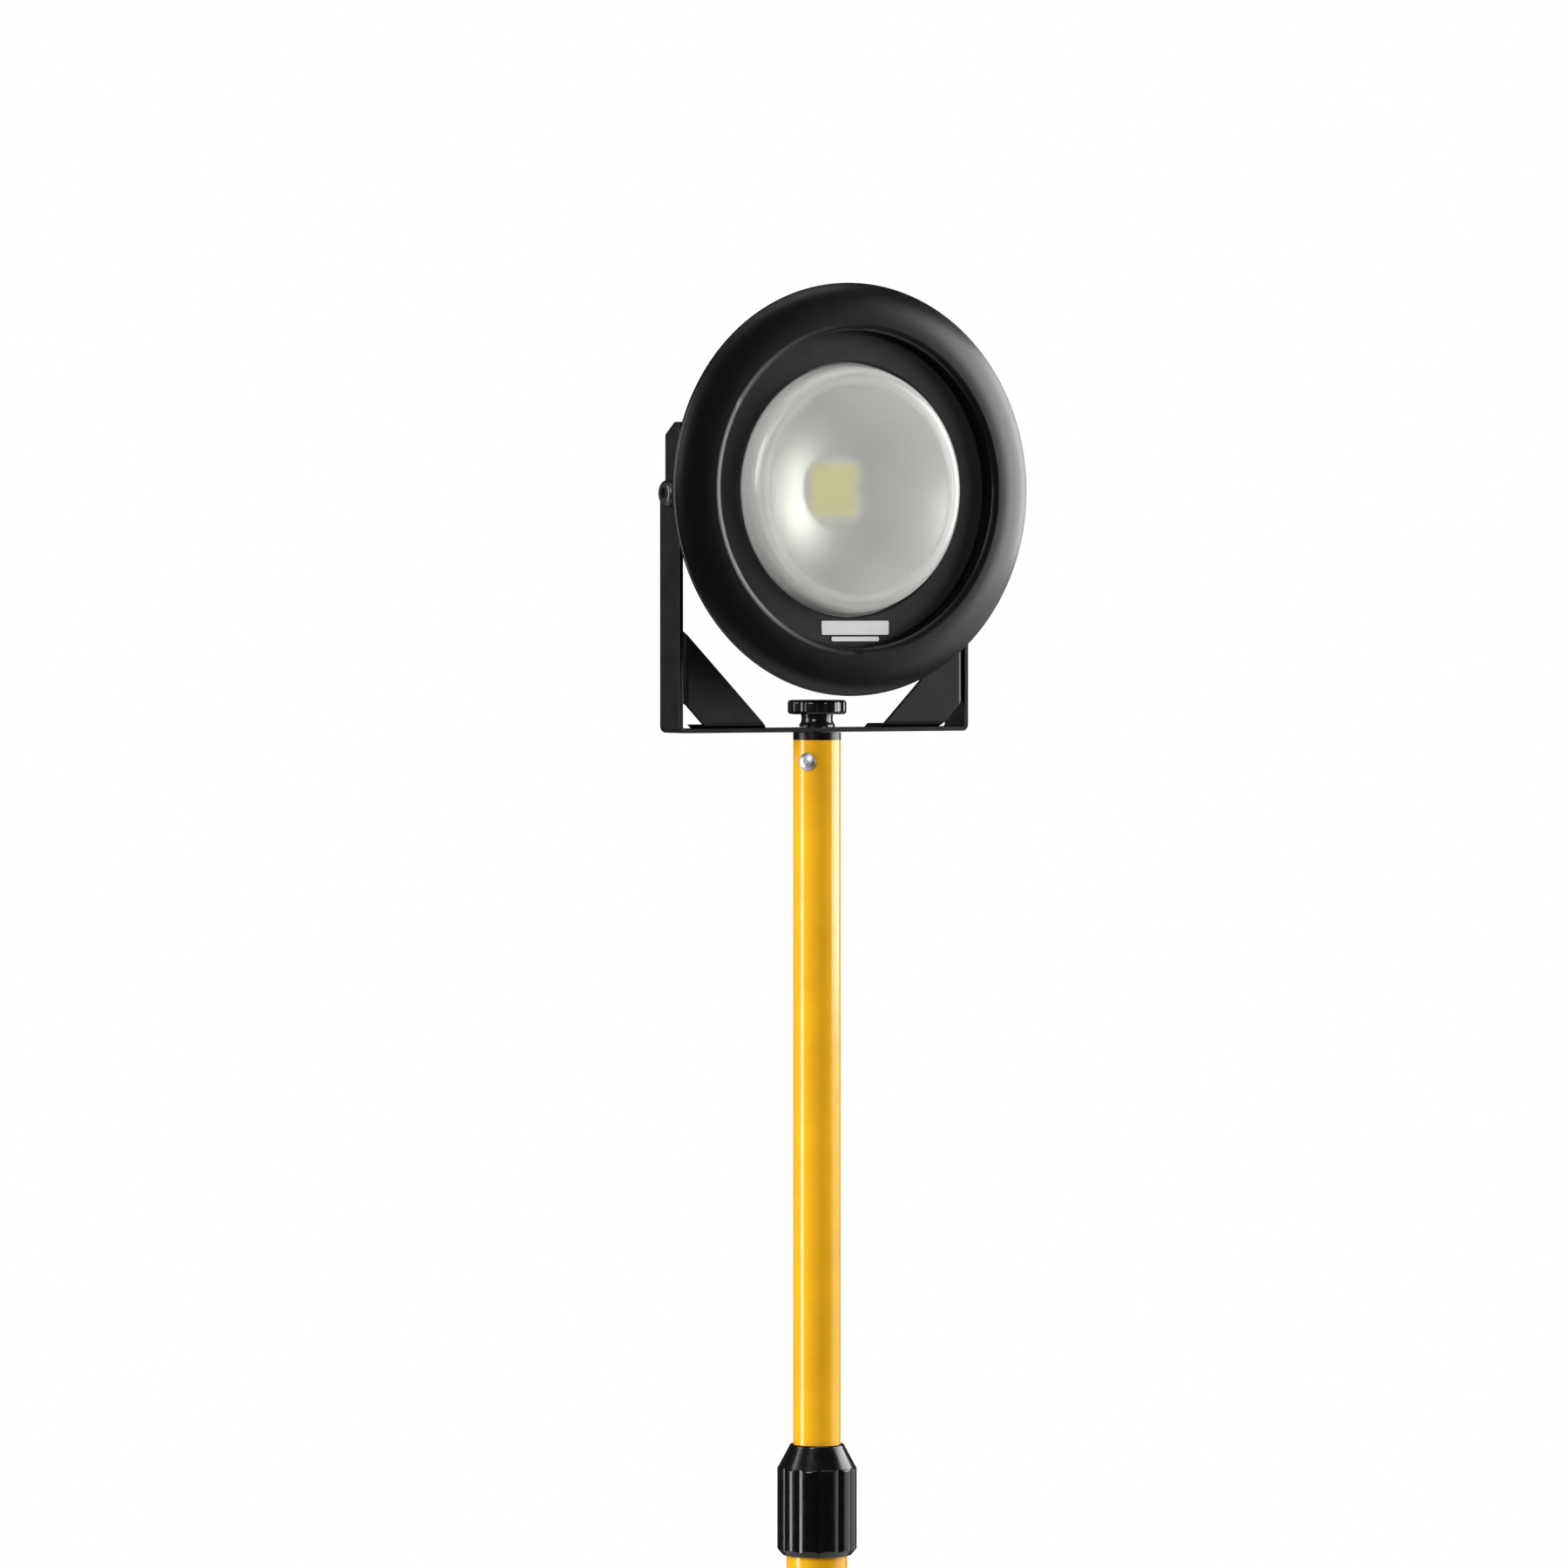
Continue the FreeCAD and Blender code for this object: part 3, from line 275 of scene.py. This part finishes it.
LOOKS = {
    "bezel_coat": coated("bezel_coat", (0.0022, 0.0019, 0.0025), 0.31, 1500.0, 0.00002, 0.015,
                         Specular_IOR_Level=0.36),
    "black_coat": coated("black_coat", (0.0034, 0.0031, 0.0038), 0.36, 1500.0, 0.00003, 0.03,
                         Specular_IOR_Level=0.36).softened(),
    "trim_coat": coated("trim_coat", (0.0175, 0.0165, 0.0195), 0.62, 1700.0, 0.00003,
                        Specular_IOR_Level=0.25),
    "housing_coat": coated("housing_coat", (0.009, 0.009, 0.010), 0.5, 700.0, 0.00006),
    "badge_print": coated("badge_print", (0.80, 0.80, 0.79), 0.45, 2500.0, 0.00001),
    "lens_glass": lens_look(),
    "seal_rubber": rubber("seal_rubber", (0.018, 0.018, 0.018)),
    "reflector_metal": reflector_look(),
    "led_chip": chip_look(),
    "board_metal": board_look(),
    "zinc_steel": metal("zinc_steel", (0.44, 0.46, 0.50), 0.42, 250.0, depth=0.00002),
    "pad_silicone": rubber("pad_silicone", (0.42, 0.44, 0.47), 0.6),
    "black_screws": coated("black_screws", (0.012, 0.012, 0.013), 0.33, 1200.0, 0.00002),
    "driver_case": metal("driver_case", (0.70, 0.70, 0.71), 0.38, 120.0, (1.0, 1.0, 12.0)),
    "gland_plastic": moulded("gland_plastic", (0.012, 0.012, 0.013), 0.45, 1800.0, 0.00004),
    "washer_plastic": moulded("washer_plastic", (0.012, 0.012, 0.012), 0.5, 1800.0, 0.00003),
    "knob_plastic": moulded("knob_plastic", (0.008, 0.008, 0.008), 0.17, 500.0, 0.000008),
    "plug_plastic": moulded("plug_plastic", (0.003, 0.003, 0.003), 0.28, 1500.0, 0.00002,
                            Specular_IOR_Level=0.3),
    "insert_brass": metal("insert_brass", (0.72, 0.52, 0.24), 0.28, 200.0),
    "yellow_paint": coated("yellow_paint", (0.85, 0.42, 0.012), 0.15, 420.0, 0.0000015, 0.02,
                           Specular_IOR_Level=0.40),
    "bush_nylon": moulded("bush_nylon", (0.035, 0.035, 0.036), 0.5, 1500.0, 0.00003),
    "collar_plastic": moulded("collar_plastic", (0.0025, 0.0025, 0.0032), 0.19, 400.0, 0.000006,
                              Specular_IOR_Level=0.38),
    "joint_plastic": moulded("joint_plastic", (0.014, 0.014, 0.015), 0.42, 1300.0, 0.00006),
    "strut_paint": coated("strut_paint", (0.012, 0.012, 0.012), 0.36, 900.0, 0.00003).softened(),
    "foot_rubber": rubber("foot_rubber", (0.016, 0.016, 0.017)),
}

for part in record["subparts"]:
    for slot in nodes[part["node"]].material_slots:
        slot.material = LOOKS[part["material_slot"]].material


# ------------------------------------------------------------------ studio


def floor():
    """A round pale floor with a faint cast texture."""
    radius, rings, steps = 1.7, 12, 96
    vertices = [(0.0, 0.0, 0.0)]
    faces = []
    for ring in range(1, rings + 1):
        reach = radius * ring / rings
        for step in range(steps):
            angle = 2 * math.pi * step / steps
            vertices.append((reach * math.cos(angle), reach * math.sin(angle), 0.0))
    for step in range(steps):
        after = (step + 1) % steps
        faces.append((0, 1 + step, 1 + after))
        for ring in range(rings - 1):
            near, far = 1 + ring * steps, 1 + (ring + 1) * steps
            faces.append((near + step, far + step, far + after, near + after))
    mesh = bpy.data.meshes.new("floor")
    mesh.from_pydata(vertices, [], faces)
    ground = bpy.data.objects.new("floor", mesh)
    ground.location.z = -0.0005
    bpy.context.collection.objects.link(ground)
    look = Look("floor_plaster", Roughness=0.8)
    tone = look.ramp(look.noise(3.0, 5.0), (0.3, (0.80, 0.80, 0.79)), (0.7, (0.84, 0.84, 0.83)))
    look.set("Base_Color", tone)
    look.surface(look.noise(60.0, 4.0), 0.0004)
    mesh.materials.append(look.material)


def softbox(name, azimuth, height, distance, width, tall, power, aim_height):
    """An area light turned towards the mast, in degrees, metres and watts. The lamp faces azimuth 0."""
    light = bpy.data.lights.new(name, "AREA")
    light.shape = "RECTANGLE"
    light.size = width
    light.size_y = tall
    light.energy = power
    angle = math.radians(azimuth)
    place = Vector((math.sin(angle) * distance, -math.cos(angle) * distance, height))
    lamp = bpy.data.objects.new(name, light)
    lamp.location = place
    lamp.rotation_mode = "QUATERNION"
    lamp.rotation_quaternion = (Vector((0.0, 0.0, aim_height)) - place).to_track_quat("-Z", "Y")
    bpy.context.collection.objects.link(lamp)


def studio():
    """A white surround that lights faintly, and softboxes left, right, in front and above."""
    world = bpy.data.worlds.new("studio")
    bpy.context.scene.world = world
    world.use_nodes = True
    tree = world.node_tree
    tree.nodes.clear()
    output = tree.nodes.new("ShaderNodeOutputWorld")
    seen = tree.nodes.new("ShaderNodeBackground")
    seen.inputs["Color"].default_value = (1.0, 1.0, 1.0, 1.0)
    lighting = tree.nodes.new("ShaderNodeBackground")
    lighting.inputs["Color"].default_value = (1.0, 1.0, 1.0, 1.0)
    lighting.inputs["Strength"].default_value = 0.05
    choice = tree.nodes.new("ShaderNodeMixShader")
    path = tree.nodes.new("ShaderNodeLightPath")
    tree.links.new(path.outputs["Is Camera Ray"], choice.inputs[0])
    tree.links.new(lighting.outputs[0], choice.inputs[1])
    tree.links.new(seen.outputs[0], choice.inputs[2])
    tree.links.new(choice.outputs[0], output.inputs["Surface"])
    softbox("left_low", -108.0, 0.85, 2.2, 0.65, 1.3, 27.0, 0.85)
    softbox("left_high", -108.0, 2.15, 2.2, 1.0, 1.3, 30.0, 2.15)
    softbox("right_low", 72.0, 0.95, 2.2, 2.4, 0.9, 11.0, 0.95)
    softbox("right_high", 73.5, 1.95, 2.2, 2.3, 1.4, 86.0, 1.95)
    softbox("front_left", -56.0, 2.5, 2.4, 0.8, 1.4, 36.0, 1.6)
    softbox("top", 0.0, 3.9, 0.7, 2.4, 1.4, 20.0, 1.5)


def camera():
    """A long lens, from the lamp's own right."""
    right = Vector((math.cos(CAMERA_AZIMUTH), math.sin(CAMERA_AZIMUTH), 0.0))
    back = Vector((math.sin(CAMERA_AZIMUTH), -math.cos(CAMERA_AZIMUTH), 0.0))
    aim = Vector((0.0, 0.0, PLATE_Z - AIM_DROP)) - right * AIM_LEFT
    place = back * CAMERA_DISTANCE - right * AIM_LEFT + Vector((0.0, 0.0, PLATE_Z + CAMERA_RISE))
    data = bpy.data.cameras.new("camera")
    data.lens = 180.0
    data.sensor_width = 36.0
    data.clip_end = 60.0
    view = bpy.data.objects.new("camera", data)
    view.location = place
    view.rotation_mode = "QUATERNION"
    view.rotation_quaternion = (aim - place).to_track_quat("-Z", "Y")
    bpy.context.collection.objects.link(view)
    bpy.context.scene.camera = view


floor()
studio()
camera()
bpy.context.scene.view_settings.view_transform = "Standard"
